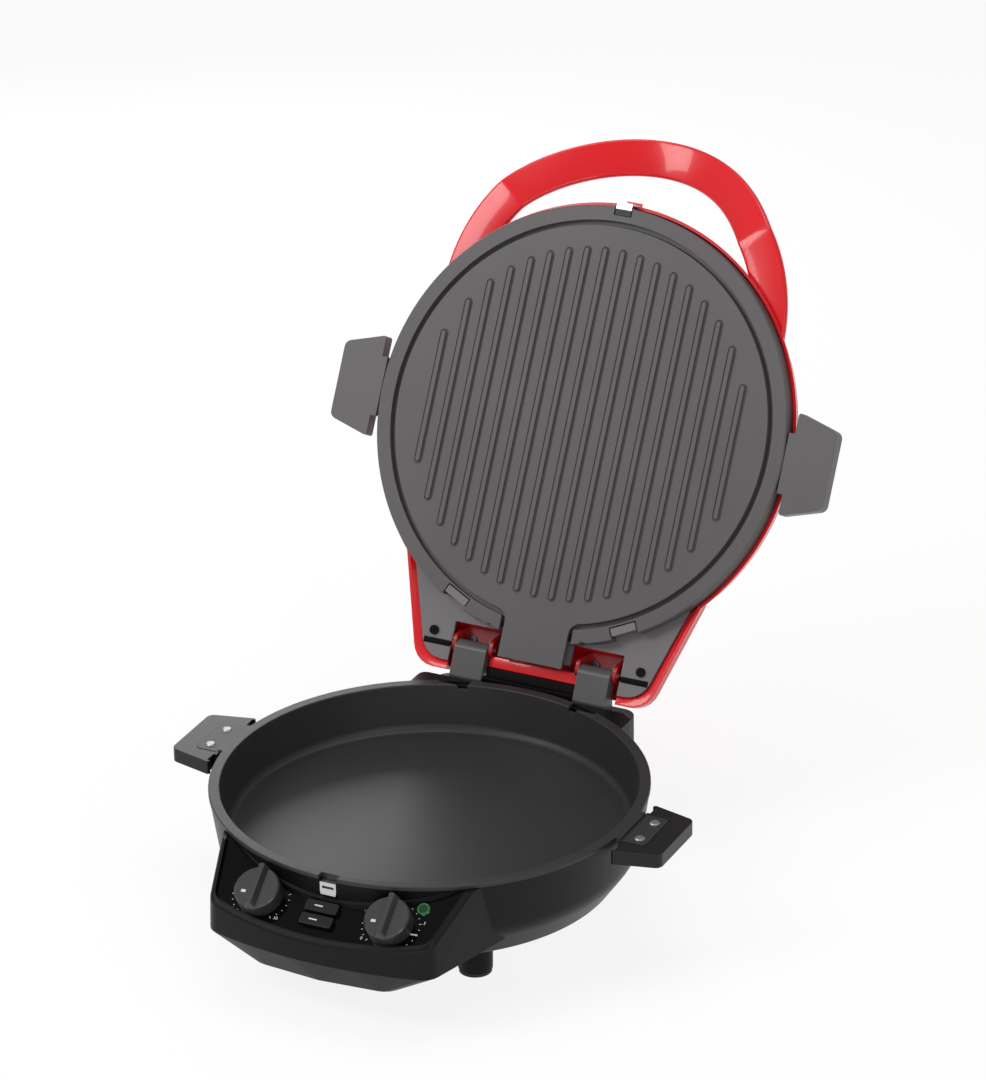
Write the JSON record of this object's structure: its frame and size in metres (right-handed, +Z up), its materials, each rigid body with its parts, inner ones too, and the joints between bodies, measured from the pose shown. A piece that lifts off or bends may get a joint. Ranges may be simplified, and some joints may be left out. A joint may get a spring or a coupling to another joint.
{
  "type": "electric pizza maker",
  "caption": "Round countertop pizza cooker with a deep pan below, a ribbed grill plate in a hinged domed lid, a loop handle and sloped controls with knobs.",
  "frame": {"origin": "middle of the open object's footprint box, on the table", "axes": "+Z up, -Y towards the user and the controls, +X to the user's right, hinge along X"},
  "size_m": [0.418, 0.6262, 0.4588],
  "materials": {
    "dark_plastic": "fine satin moulded black",
    "panel_gloss": "high gloss black",
    "black_switch": "satin",
    "red_gloss": "high gloss",
    "grey_plastic": "smooth satin",
    "cast_pan": "non-stick coated, dark grey",
    "cast_plate": "non-stick coated, grey",
    "steel": "bare sheet and wire",
    "element": "heat tinted",
    "brass": "plain",
    "rubber": "matte",
    "grip_black": "heat proof moulding",
    "lens_green": "clear green",
    "ceramic": "pale insulator",
    "lamp_glass": "clear"
  },
  "bodies": {
    "base": {"base_housing": "dark_plastic", "bottom_cover": "steel", "control_panel": "panel_gloss", "lower_reflector": "steel", "lower_element": "element", "lower_element_clips": "steel", "thermostat_body": "ceramic", "timer_body": "steel", "heat_switches": "black_switch", "indicator_lamp": "lamp_glass", "indicator_lens": "lens_green", "terminal_block": "ceramic", "cord_gland": "rubber", "hinge_arm_left": "grey_plastic", "hinge_arm_right": "grey_plastic", "hinge_bushes": "brass", "hinge_pin_left": "steel", "hinge_pin_right": "steel", "foot_front_left": "dark_plastic", "foot_front_right": "dark_plastic", "foot_rear_left": "dark_plastic", "foot_rear_right": "dark_plastic", "foot_pads": "rubber", "foot_screws": "steel", "cover_screws": "steel", "arm_screws": "steel", "pan_latch_pin": "steel"},
    "pan": {"deep_pan": "cast_pan", "pan_grip_left": "grip_black", "pan_grip_right": "grip_black", "pan_rivets": "steel"},
    "timer": {"timer_knob": "dark_plastic", "timer_shaft": "steel"},
    "thermostat": {"thermostat_knob": "dark_plastic", "thermostat_shaft": "steel"},
    "upper_button": {"upper_heat_button": "black_switch"},
    "lower_button": {"lower_heat_button": "black_switch"},
    "front_hook": {"pan_latch": "steel"},
    "lid": {"lid_shell": "red_gloss", "lid_handle": "red_gloss", "lid_liner": "grey_plastic", "upper_reflector": "steel", "upper_element": "element", "upper_element_clips": "steel", "thermal_fuse": "ceramic", "hinge_bracket_left": "steel", "hinge_bracket_right": "steel", "bracket_screws": "steel", "handle_screws": "steel", "liner_screws": "steel", "plate_latch_spring": "steel"},
    "lid_hook": {"plate_latch": "steel"},
    "grill": {"grill_plate": "cast_plate", "plate_grip_left": "grey_plastic", "plate_grip_right": "grey_plastic", "plate_rivets": "steel"}
  },
  "joints": [
    {"name": "lid_hinge", "type": "hinge", "parent": "base", "child": "lid", "pos_m": [0, 0.064, 0.1211], "axis": [-1, 0, 0], "range_deg": [-119.5, 0]},
    {"name": "timer_turn", "type": "hinge", "parent": "base", "child": "timer", "pos_m": [-0.053, -0.288, 0.0792], "axis": [0, -0.5446, 0.8387], "range_deg": [-300, 0]},
    {"name": "thermostat_turn", "type": "hinge", "parent": "base", "child": "thermostat", "pos_m": [0.053, -0.288, 0.0792], "axis": [0, -0.5446, 0.8387], "range_deg": [-270, 0]},
    {"name": "upper_heat_press", "type": "slide", "parent": "base", "child": "upper_button", "axis": [0, 0.5446, -0.8387], "range_m": [0, 0.0025], "stiffness_N_per_m": 400, "springref_m": -0.002},
    {"name": "lower_heat_press", "type": "slide", "parent": "base", "child": "lower_button", "axis": [0, 0.5446, -0.8387], "range_m": [0, 0.0025], "stiffness_N_per_m": 400, "springref_m": -0.002},
    {"name": "pan_latch_swing", "type": "hinge", "parent": "base", "child": "front_hook", "pos_m": [0, -0.2758, 0.073], "axis": [1, 0, 0], "range_deg": [0, 7], "stiffness_Nm_per_rad": 0.3, "springref_deg": -5.73},
    {"name": "pan_lift", "type": "slide", "parent": "base", "child": "pan", "axis": [0, 0, 1], "range_m": [0, 0.045]},
    {"name": "plate_latch_pull", "type": "slide", "parent": "lid", "child": "lid_hook", "axis": [0, 0.4924, 0.8704], "range_m": [0, 0.003], "stiffness_N_per_m": 600, "springref_m": -0.002, "deforming": ["plate_latch_spring"]},
    {"name": "plate_out", "type": "slide", "parent": "lid", "child": "grill", "axis": [0, -0.8704, 0.4924], "range_m": [0, 0.05]}
  ]
}
